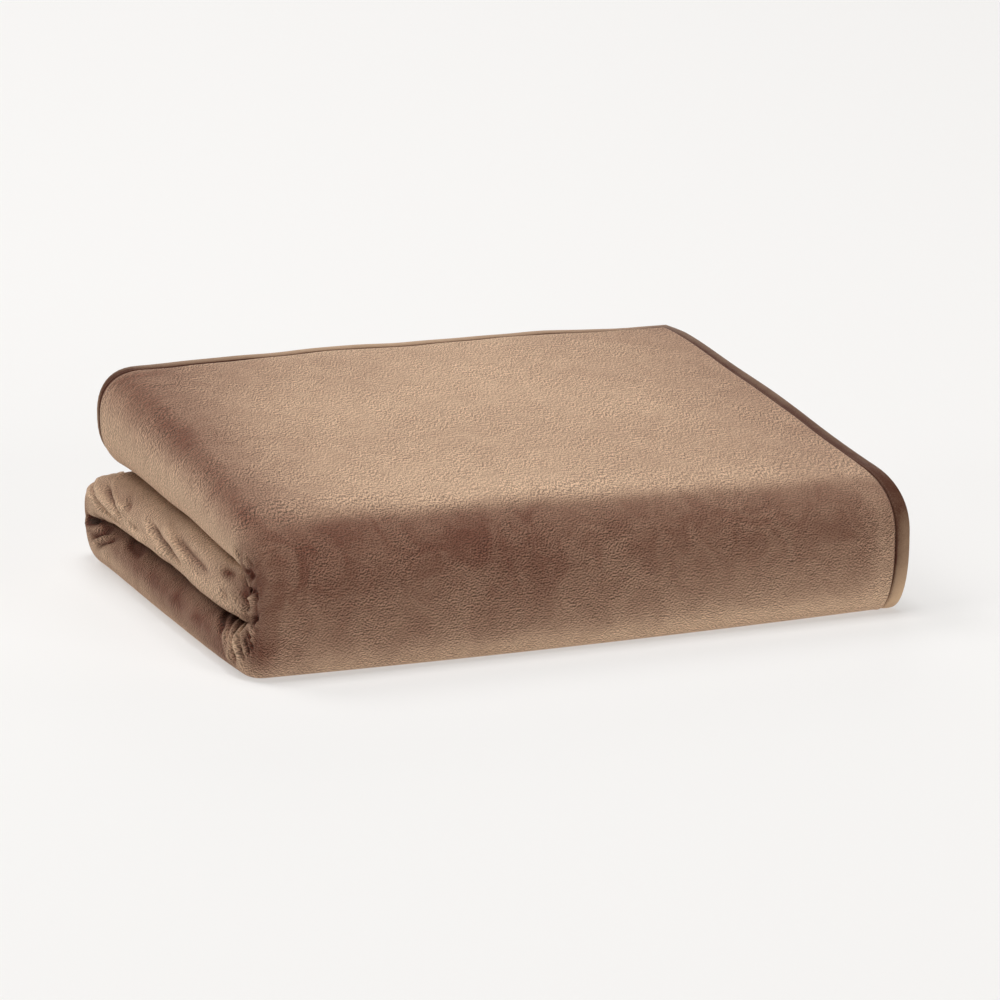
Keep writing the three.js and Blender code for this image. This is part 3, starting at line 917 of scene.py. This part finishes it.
def blanket_cloth():
    """The sheet: a fine grid for its face, a grid half as fine for its back, joined at the hems."""
    stations, places = cloth_stations(), cloth_places()
    half_stations = stations.pick(np.arange(0, len(stations), 2))
    face, middle = (cloth_points(stations, places, side) for side in (1, 0))
    back = waved(cloth_points(half_stations, places[::2], -1))
    places = np.array(places)
    outward = face - middle
    face = waved(tip_filled(face, places, stations))
    face, depth = creased(face, outward, places, stations)
    across, along = flat_lengths(middle)
    runs = stations.part + stations.share
    tufts, tufts_across = tuft_lengths(places, along), tuft_widths(runs, across)
    from_back = np.minimum(places * TOP_RUN, (PATH_END - places) * MIDDLE_RUN)
    in_seam = (stations.from_hem < SEAM_REACH)[None] | (from_back < SEAM_REACH_AT_BACK)[:, None]
    tone = pile_tone_and_shading(places, runs, depth, in_seam)
    rows, columns = face.shape[:2]
    back_rows, back_columns = back.shape[:2]
    polygons = grid_quads(rows, columns)
    polygons += grid_quads(back_rows, back_columns, rows * columns, flip=True)
    polygons += rim_triangles(rim(rows, columns), rim(back_rows, back_columns, rows * columns))
    points = np.concatenate([face.reshape(-1, 3), back.reshape(-1, 3)])
    piece = make_object("blanket", points, polygons)
    on_flat, in_tufts = (
        np.concatenate([grid_of(down[::every], over[::every]) for every in (1, 2)])
        for down, over in ((along, across), (tufts, tufts_across))
    )
    add_maps(piece, on_flat, in_tufts, np.append(tone, tone[::2, ::2]))
    return piece, (across[-1] + CLOTH_EDGE, along[-1] + CLOTH_EDGE)


# The tape's section, from its folded edge inwards: distance from the edge, and how far it stands
# off or sinks below its plain outer face. It has a soft fold, a faint dip where the seam is sewn,
# and is drawn down at its inner edge.
TAPE_FACE = table(
    "inward proud",
    (0.00, -1.60),
    (0.12, -0.99),
    (0.47, -0.47),
    (0.99, -0.12),
    (1.60, 0.00),
    (3.20, 0.22),
    (4.80, 0.22),
    (6.60, 0.10),
    (8.10, -0.08),
    (8.90, -0.36),
    (9.60, -0.34),
    (10.50, -0.85),
)
SEAM_POINT = 9


def tape_section():
    """Points round the folded tape: in from the edge, and off the sheet's middle."""
    outside = [(inward, TAPE_OUTER_HALF + proud) for inward, proud in rows_of(TAPE_FACE)]
    half = [*outside, (TAPE_WIDTH, TAPE_INNER_HALF), (TAPE_THICKNESS, TAPE_INNER_HALF)]
    other_half = [(inward, -off) for inward, off in half[:0:-1]]
    return half + other_half


# How light the tape looks round its loop, as painted light and shade: dark where it turns over the
# top of the front fold, light down towards the floor and lighter along the back hem. By which edge
# it is on and how far along: the edge of the outer layer by its path, the back hem by its run, and
# the edges that show less
TAPE_SHADING_ALONG_PATH = table(
    "path tone",
    (0.00, 0.22),
    (0.50, 0.17),
    (0.90, 0.13),
    (1.10, 0.07),
    (1.30, 0.00),
    (1.45, 0.26),
    (1.60, 0.55),
    (1.75, 0.95),
    (1.95, 1.25),
    (2.10, 0.50),
    (5.00, 0.40),
)
TAPE_SHADING_ALONG_HEM = table(
    "run tone",
    (0.00, 0.45),
    (0.15, 0.62),
    (0.50, 0.78),
    (0.75, 0.67),
    (0.96, 0.36),
    (1.06, 0.16),
    (1.30, 0.16),
    (1.50, 0.55),
    (1.80, 0.60),
    (7.00, 0.40),
)
TAPE_TONE_AT_CORNERS = 0.35
# Painted shade along the tape's inner edge at the seam: a narrow dark line, and a wider fall inwards
TAPE_SEAM_SHADE, TAPE_SEAM_REACH = 0.50, 1.2
TAPE_INWARD_SHADE, TAPE_INWARD_REACH = 0.22, 4.5


def edge_binding():
    """The binding: one loop of tape round all four edges of the sheet, mitred at its corners."""
    across = inner_stations(TAPE_RUN_STEPS)
    along = inner_places(TAPE_PATH_STEPS)
    along = [path_at(TOP, FULL_CLOTH_FROM), *along, path_at(MIDDLE, FULL_CLOTH_FROM)]
    section = tape_section()
    rings, tones = [], []

    def corner(run, part):
        places = [(path_at(part, inward), hem_stations(run, [inward]), off) for inward, off in section]
        rings.append(np.array([on_sheet(*place)[0] for place in places]))
        tones.append(TAPE_TONE_AT_CORNERS)

    def path_hem(part, stations):
        rows = np.array([on_sheet(path_at(part, inward), stations, off) for inward, off in section])
        rings.extend(rows.transpose(1, 0, 2))
        tones.extend(column(TAPE_SHADING_ALONG_HEM, "run", stations.part + stations.share, "tone"))

    def run_hem(run, places):
        inward, off = np.array(section).T
        stations = hem_stations(run, list(inward))
        rings.extend(on_sheet(path, stations, off) for path in places)
        tones.extend(column(TAPE_SHADING_ALONG_PATH, "path", np.array(places), "tone"))

    corner(FIRST_RUN, TOP)
    path_hem(TOP, across)
    corner(LAST_RUN, TOP)
    run_hem(LAST_RUN, along)
    corner(LAST_RUN, MIDDLE)
    path_hem(MIDDLE, across.pick(np.arange(len(across))[::-1]))
    corner(FIRST_RUN, MIDDLE)
    run_hem(FIRST_RUN, along[::-1])
    rings = waved(np.array(rings))
    piece = make_object("binding_tape", rings.reshape(-1, 3), loop_quads(*rings.shape[:2]))
    places = grid_of(so_far(mean_steps(rings, 0)), so_far(mean_steps(rings, 1)))
    # painted shade beside the seam, towards the tape's inner edge
    from_seam = TAPE_WIDTH - np.array(section)[:, 0]
    darker = TAPE_SEAM_SHADE * np.exp(-((from_seam / TAPE_SEAM_REACH) ** 2))
    darker += TAPE_INWARD_SHADE * np.exp(-((from_seam / TAPE_INWARD_REACH) ** 2))
    tone = np.clip(np.array(tones)[:, None] - darker[None], 0, PALEST)
    add_maps(piece, places, places, tone.ravel())
    return piece, rings


# The seam that holds the tape: stitches along both of its faces
STITCH_LENGTH, STITCH_PITCH, STITCH_THICKNESS = 2.3, 3.1, 0.55
STITCH_RISE = 0.12

# The faces of one stitch: points 0 and 1 are its ends, and four more go round its middle
STITCH_SIDES = [(2, 3), (3, 4), (4, 5), (5, 2)]
STITCH_FACES = [(0, a, b) for a, b in STITCH_SIDES] + [(1, b, a) for a, b in STITCH_SIDES]


def seam_stitches(rings):
    """All the stitches as one mesh: each is a slim spindle that lies in the tape's dip."""
    inner = rings.shape[1] - SEAM_POINT
    points, triangles = [], []
    for here, beside in ((SEAM_POINT, SEAM_POINT - 1), (inner, inner + 1)):
        line = np.concatenate([rings[:, here], rings[:1, here]])
        side_line = np.concatenate([rings[:, beside], rings[:1, beside]])
        length = so_far(np.linalg.norm(np.diff(line, axis=0), axis=-1))
        middles = np.arange(STITCH_PITCH / 2, length[-1] - STITCH_PITCH, STITCH_PITCH)

        def at(distance, of):
            return np.stack([np.interp(distance, length, of[:, axis]) for axis in range(3)], axis=-1)

        start, end = (at(middles + step * STITCH_LENGTH / 2, line) for step in (-1, 1))
        middle = (start + end) / 2
        ahead = end - start
        ahead /= np.linalg.norm(ahead, axis=-1, keepdims=True)
        side = at(middles, side_line) - middle
        side -= ahead * (side * ahead).sum(-1, keepdims=True)
        side /= np.linalg.norm(side, axis=-1, keepdims=True)
        up = np.cross(ahead, side) * (1 if here == SEAM_POINT else -1)
        lifted = middle + up * STITCH_RISE
        half = STITCH_THICKNESS / 2
        side_half, up_half = side * half, up * half
        corners = [start, end, lifted + side_half, lifted + up_half, lifted - side_half, lifted - up_half]
        first = sum(len(block) for block in points)
        points.append(np.stack(corners, axis=1).reshape(-1, 3))
        firsts = first + len(corners) * np.arange(len(middles))
        triangles += (firsts[:, None, None] + np.array(STITCH_FACES)).reshape(-1, 3).tolist()
    return make_object("seam_stitches", np.concatenate(points), triangles)


# Materials

def fill(tree, made, inputs):
    """Sets or links a node's inputs, by name or number."""
    for name, value in inputs.items():
        if isinstance(value, bpy.types.NodeSocket):
            tree.links.new(value, made.inputs[name])
        else:
            made.inputs[name].default_value = value


def node(tree, kind, inputs, **settings):
    """A shader node with its inputs and settings."""
    made = tree.nodes.new("ShaderNode" + kind)
    for name, value in settings.items():
        setattr(made, name, value)
    fill(tree, made, inputs)
    return made


def calc(tree, operation, *values):
    return node(tree, "Math", dict(enumerate(values)), operation=operation).outputs[0]


def vector_calc(tree, operation, vector, by):
    """A vector scaled by a number, or with another vector added or taken away."""
    second = "Scale" if operation == "SCALE" else 1
    return node(tree, "VectorMath", {0: vector, second: by}, operation=operation).outputs[0]


def spread(tree, value, low, high, start=0.0, end=1.0):
    """A value's range from low to high, eased out to start and end."""
    inputs = {"Value": value, "From Min": low, "From Max": high, "To Min": start, "To Max": end}
    return node(tree, "MapRange", inputs, interpolation_type="SMOOTHSTEP").outputs[0]


# Grains of noise over the flat sheet: how many to a metre, their detail, roughness and distortion
WIDE_PATCHES = (11, 2, 0.5, 0.4)
NARROW_STREAKS = (52, 3, 0.6, 0.9)
ROUGHED_PLACES = (26, 2, 0.5, 0.5)
PILE_LOCKS = (1000, 2, 0.6, 0)
PILE_CLUMPS = (280, 1, 0.5, 0.4)


def grain(tree, place, per_metre, detail, roughness, distortion):
    """Noise of one grain over places on the flat sheet."""
    inputs = {"Vector": place, "Scale": per_metre, "Detail": detail}
    inputs |= {"Roughness": roughness, "Distortion": distortion}
    return node(tree, "TexNoise", inputs, noise_dimensions="2D").outputs[0]


def effect(name, takes, gives):
    """An empty effect that materials share: its tree, what it takes and what it gives."""
    tree = bpy.data.node_groups.new(name, "ShaderNodeTree")
    for in_out, sockets in (("INPUT", takes), ("OUTPUT", gives)):
        for socket, kind in sockets.items():
            tree.interface.new_socket(socket, in_out=in_out, socket_type="NodeSocket" + kind)
    return tree, tree.nodes.new("NodeGroupInput").outputs, tree.nodes.new("NodeGroupOutput").inputs


def placed(tree, group, inputs):
    """What an effect gives where a material uses it."""
    return node(tree, "Group", inputs, node_tree=group).outputs


# How far noise swings about its middle, and how rough the pile stands at the least and the most
NOISE_LOW, NOISE_HIGH = 0.3, 0.7
ROUGHED_LOW, ROUGHED_HIGH, LEAST_ROUGHED = 0.38, 0.56, 0.7


def brushed_patches():
    """Where the nap was stroked: wide soft patches, narrower streaks, and how rough the pile stands."""
    tree, takes, gives = effect(
        "brushed patches",
        {"Place": "Vector", "Patch Change": "Float", "Streak Change": "Float"},
        {"Change": "Float", "Roughed": "Float"},
    )
    patches, streaks = (
        spread(tree, grain(tree, takes["Place"], *marks), NOISE_LOW, NOISE_HIGH, -1, 1)
        for marks in (WIDE_PATCHES, NARROW_STREAKS)
    )
    patch_part = calc(tree, "MULTIPLY", patches, takes["Patch Change"])
    streak_part = calc(tree, "MULTIPLY", streaks, takes["Streak Change"])
    roughed = grain(tree, takes["Place"], *ROUGHED_PLACES)
    tree.links.new(calc(tree, "ADD", patch_part, streak_part), gives["Change"])
    tree.links.new(spread(tree, roughed, ROUGHED_LOW, ROUGHED_HIGH, LEAST_ROUGHED, 1), gives["Roughed"])
    return tree


# Short pile: its locks sway by so much, in waves of so many to a metre, and lean by a fixed step,
# which paints a light and a dark side on each lock. Locks and clumps share in its height.
SWAY, SWAYS_PER_METRE = 0.0014, 170
LEAN_STEP = (-0.00008, 0.00036, 0)
LOCKS_PART, CLUMPS_PART = 0.8, 0.2
HEIGHT_LOW, HEIGHT_HIGH = 0.33, 0.67
MOST_LEAN = 0.15


def short_pile():
    """Fine pile: small locks of fibre with painted light and shade, a light and a dark side on each, as if
    it leaned one way.
    """
    tree, takes, gives = effect(
        "short pile",
        {"Place": "Vector", "Fineness": "Float"},
        {"Height": "Float", "Lean Shade": "Float"},
    )
    scaled = vector_calc(tree, "SCALE", takes["Place"], takes["Fineness"])
    waves = {"Vector": scaled, "Scale": SWAYS_PER_METRE, "Detail": 1}
    sway = node(tree, "TexNoise", waves, noise_dimensions="2D").outputs["Color"]
    centred = vector_calc(tree, "SUBTRACT", sway, (0.5, 0.5, 0.5))
    swayed = vector_calc(tree, "ADD", scaled, vector_calc(tree, "SCALE", centred, SWAY))
    beside = vector_calc(tree, "ADD", swayed, LEAN_STEP)
    locks, locks_beside = (grain(tree, place, *PILE_LOCKS) for place in (swayed, beside))
    clumps = grain(tree, swayed, *PILE_CLUMPS)
    height = calc(tree, "MULTIPLY_ADD", clumps, CLUMPS_PART, calc(tree, "MULTIPLY", locks, LOCKS_PART))
    # painted light and dark sides: the locks less the same locks one step over
    lean = calc(tree, "SUBTRACT", locks, locks_beside)
    tree.links.new(spread(tree, height, HEIGHT_LOW, HEIGHT_HIGH), gives["Height"])
    tree.links.new(spread(tree, lean, -MOST_LEAN, MOST_LEAN, -1, 1), gives["Lean Shade"])
    return tree


def new_material(name):
    """A material, its tree and its shader."""
    made = bpy.data.materials.new(name)
    made.use_nodes = True
    return made, made.node_tree, made.node_tree.nodes["Principled BSDF"]


def two_tone(tree, value, dark, light):
    """A colour from dark at 0 to light at 1."""
    ramp = node(tree, "ValToRGB", {"Fac": value})
    ramp.color_ramp.elements[0].color = (*dark, 1)
    ramp.color_ramp.elements[1].color = (*light, 1)
    return ramp.outputs[0]


def map_place(tree, name):
    return node(tree, "UVMap", {}, uv_map=name).outputs[0]


def mesh_tone(tree):
    return node(tree, "Attribute", {}, attribute_name="tone").outputs["Fac"]


PATCHES, PILE = brushed_patches(), short_pile()

# Plush: its colours, how much its tufts show on dark pile and how much less on pale, how much painted
# light and shade they give it, and how dark painted shade makes it in a hollow
PILE_FOOT, PILE_TIPS = (0.093, 0.019, 0.0105), (0.524, 0.360, 0.243)
TUFTS_SHOW, TUFTS_SHOW_LESS = 1.4, -0.6
SHADE_BY_LEAN, SHADE_BY_HEIGHT = 0.55, 0.4
HOLLOW_TONE, PLAIN_TONE, HOLLOW_SHADE = -0.35, 0.06, 0.35


def plush():
    """Dense short plush: a deep red-brown foot under pale tips, with painted light and shade from its
    tone, and a soft bloom where it is grazed.
    """
    material, tree, shader = new_material("plush pile")
    tone = mesh_tone(tree)
    changes = {"Place": map_place(tree, "sheet"), "Patch Change": 0.045, "Streak Change": 0.06}
    patches = placed(tree, PATCHES, changes)
    pile = placed(tree, PILE, {"Place": map_place(tree, "tufts"), "Fineness": 1.15})
    opened = calc(tree, "MULTIPLY_ADD", tone, TUFTS_SHOW_LESS, TUFTS_SHOW)
    opened = calc(tree, "MULTIPLY", opened, patches["Roughed"])
    rough = calc(tree, "MULTIPLY", calc(tree, "SUBTRACT", pile["Height"], 0.5), opened)
    # painted light and dark sides of the locks, stronger where the pile is dark
    lean_shade = calc(tree, "MULTIPLY", pile["Lean Shade"], opened)
    colour = two_tone(tree, calc(tree, "ADD", tone, patches["Change"]), PILE_FOOT, PILE_TIPS)
    shade = calc(tree, "MULTIPLY_ADD", rough, SHADE_BY_HEIGHT, 1)
    shade = calc(tree, "MULTIPLY_ADD", lean_shade, SHADE_BY_LEAN, shade)
    # painted shade in hollows, where the tone falls below the plain tone
    shade = calc(tree, "MULTIPLY", shade, spread(tree, tone, HOLLOW_TONE, PLAIN_TONE, HOLLOW_SHADE, 1))
    fill(tree, shader, {
        "Base Color": vector_calc(tree, "SCALE", colour, shade),
        "Normal": node(tree, "Bump", {"Height": rough, "Strength": 0.5, "Distance": 0.001}).outputs[0],
        "Roughness": 0.95,
        "Specular IOR Level": 0.1,
        "Sheen Weight": 1,
        "Sheen Roughness": 0.6,
        "Sheen Tint": (0.30, 0.21, 0.156, 1),
    })
    return material


# Tape: its colours, its ribs to a metre of tape, and how much its weave shades it
TAPE_DARK, TAPE_PALE = (0.062, 0.018, 0.009), (0.56, 0.38, 0.24)
TAPE_RIBS = {"Scale": 420, "Distortion": 1.5, "Detail": 1}
SHADE_BY_WEAVE = 0.16


def binding():
    """Smooth woven tape: fine ribs across it, a soft gloss, painted light and shade from its tone, and a
    painted dark line along its seam.
    """
    material, tree, shader = new_material("binding tape")
    place = map_place(tree, "sheet")
    patches = placed(tree, PATCHES, {"Place": place, "Patch Change": 0.03, "Streak Change": 0.03})
    ribs = node(tree, "TexWave", {"Vector": place, **TAPE_RIBS}, bands_direction="Y").outputs["Fac"]
    threads = placed(tree, PILE, {"Place": place, "Fineness": 1.2})["Height"]
    woven = calc(tree, "MULTIPLY_ADD", ribs, 0.5, calc(tree, "MULTIPLY", threads, 0.5))
    shade = calc(tree, "MULTIPLY", calc(tree, "SUBTRACT", woven, 0.5), SHADE_BY_WEAVE)
    lightness = calc(tree, "ADD", calc(tree, "ADD", mesh_tone(tree), patches["Change"]), shade)
    fill(tree, shader, {
        "Base Color": two_tone(tree, lightness, TAPE_DARK, TAPE_PALE),
        "Normal": node(tree, "Bump", {"Height": woven, "Strength": 0.35, "Distance": 0.0004}).outputs[0],
        "Roughness": 0.65,
        "Specular IOR Level": 0.12,
        "Sheen Weight": 1,
        "Sheen Roughness": 0.5,
        "Sheen Tint": (0.10, 0.060, 0.040, 1),
    })
    return material


THREAD_DARK, THREAD_PALE = (0.07, 0.03, 0.02), (0.26, 0.16, 0.11)
THREAD_TWISTS_PER_METRE = 900


def thread():
    """Sewing thread of the seam: a twist of two shades along each stitch."""
    material, tree, shader = new_material("seam thread")
    place = node(tree, "TexCoord", {}).outputs["Object"]
    twists = {"Vector": place, "Scale": THREAD_TWISTS_PER_METRE, "Detail": 2}
    twist = node(tree, "TexNoise", twists).outputs[0]
    fill(tree, shader, {"Base Color": two_tone(tree, twist, THREAD_DARK, THREAD_PALE), "Roughness": 0.6})
    return material


cloth, flat_size = blanket_cloth()
tape, tape_rings = edge_binding()
stitches = seam_stitches(tape_rings)
cloth.data.materials.append(plush())
tape.data.materials.append(binding())
stitches.data.materials.append(thread())

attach(cloth, "root")
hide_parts("blanket_cloth")
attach(tape, "root")
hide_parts("edge_binding")
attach(stitches, "root")
[side * MM for side in flat_size]

# Floor and camera

# The floor's edges, in metres
FLOOR_LEFT, FLOOR_RIGHT, FLOOR_FRONT, FLOOR_BACK = -9, 9, -9, 14


def pale_floor():
    """Pale paper on a lit table, which stays even out to its far edge."""
    front = [(side, FLOOR_FRONT, 0) for side in (FLOOR_LEFT, FLOOR_RIGHT)]
    back = [(side, FLOOR_BACK, 0) for side in (FLOOR_RIGHT, FLOOR_LEFT)]
    mesh = bpy.data.meshes.new("floor")
    mesh.from_pydata(front + back, [], [(0, 1, 2, 3)])
    floor = bpy.data.objects.new("floor", mesh)
    bpy.context.scene.collection.objects.link(floor)
    material, tree, shader = new_material("pale paper on a lit table")
    fill(tree, shader, {
        "Base Color": (0.425, 0.417, 0.409, 1),
        "Emission Color": (0.452, 0.446, 0.438, 1),
        "Emission Strength": 1,
        "Roughness": 0.9,
    })
    mesh.materials.append(material)
    return floor


# The camera's angles round and above the bundle in radians, how far it is and where it aims, from
# the bundle's front left corner, in millimetres, and its lens
AZIMUTH, ELEVATION = 0.39107739, 0.25709927
DISTANCE = 4875
SIDEWAYS, UPWARD = 158.7985, 121.9073
LENS, SENSOR_WIDTH = 270, 36
SEES_FROM, SEES_TO = 0.5, 60


def photo_camera():
    """The photograph's camera, to the front left, a little above and far away."""
    right = np.array([math.cos(AZIMUTH), -math.sin(AZIMUTH), 0])
    level = np.array([math.sin(AZIMUTH), math.cos(AZIMUTH), 0])
    overhead = np.array([0, 0, 1])
    upward = level * math.sin(ELEVATION) + overhead * math.cos(ELEVATION)
    ahead = level * math.cos(ELEVATION) - overhead * math.sin(ELEVATION)
    place = (SIDEWAYS * right + UPWARD * upward - DISTANCE * ahead + CORNER) * MM
    data = bpy.data.cameras.new("camera")
    data.lens = LENS
    data.sensor_width = SENSOR_WIDTH
    data.clip_start, data.clip_end = SEES_FROM, SEES_TO
    made = bpy.data.objects.new("camera", data)
    turn = Matrix((right, upward, -ahead)).transposed()
    made.matrix_world = Matrix.LocRotScale(Vector(place), turn.to_quaternion(), None)
    bpy.context.scene.collection.objects.link(made)
    return made


pale_floor()
bpy.context.scene.camera = photo_camera()

# Light: square softboxes round the table, by their compass angle from the front (left is minus),
# their height as an angle, and their power in watts
SOFTBOXES = table(
    "around up power",
    (0, 89, 210),
    (-150, 50, 110),
    (-90, 50, 56),
    (-90, 15, 60),
    (20, 15, 131),
    (90, 15, 29),
    (158, 15, 61),
)
SOFTBOX_SIZE, SOFTBOX_DISTANCE = 2.4, 6.0
LIT_PLACE = Vector((0, 0, 0.05))


def softbox(name, around, up, power):
    """A softbox in its place, turned to the bundle."""
    data = bpy.data.lights.new(name, "AREA")
    data.size = SOFTBOX_SIZE
    data.energy = power
    lamp = bpy.data.objects.new(name, data)
    aim = (math.sin(around) * math.cos(up), -math.cos(around) * math.cos(up), math.sin(up))
    lamp.location = SOFTBOX_DISTANCE * Vector(aim)
    lamp.rotation_mode = "QUATERNION"
    lamp.rotation_quaternion = (LIT_PLACE - lamp.location).to_track_quat("-Z", "Y")
    bpy.context.scene.collection.objects.link(lamp)


for number, (around, up, power) in enumerate(rows_of(SOFTBOXES)):
    softbox(f"softbox {number + 1}", math.radians(around), math.radians(up), power)
world = bpy.data.worlds.new("studio")
world.use_nodes = True
world.node_tree.nodes["Background"].inputs["Strength"].default_value = 0
bpy.context.scene.world = world
bpy.context.scene.view_settings.view_transform = "Standard"
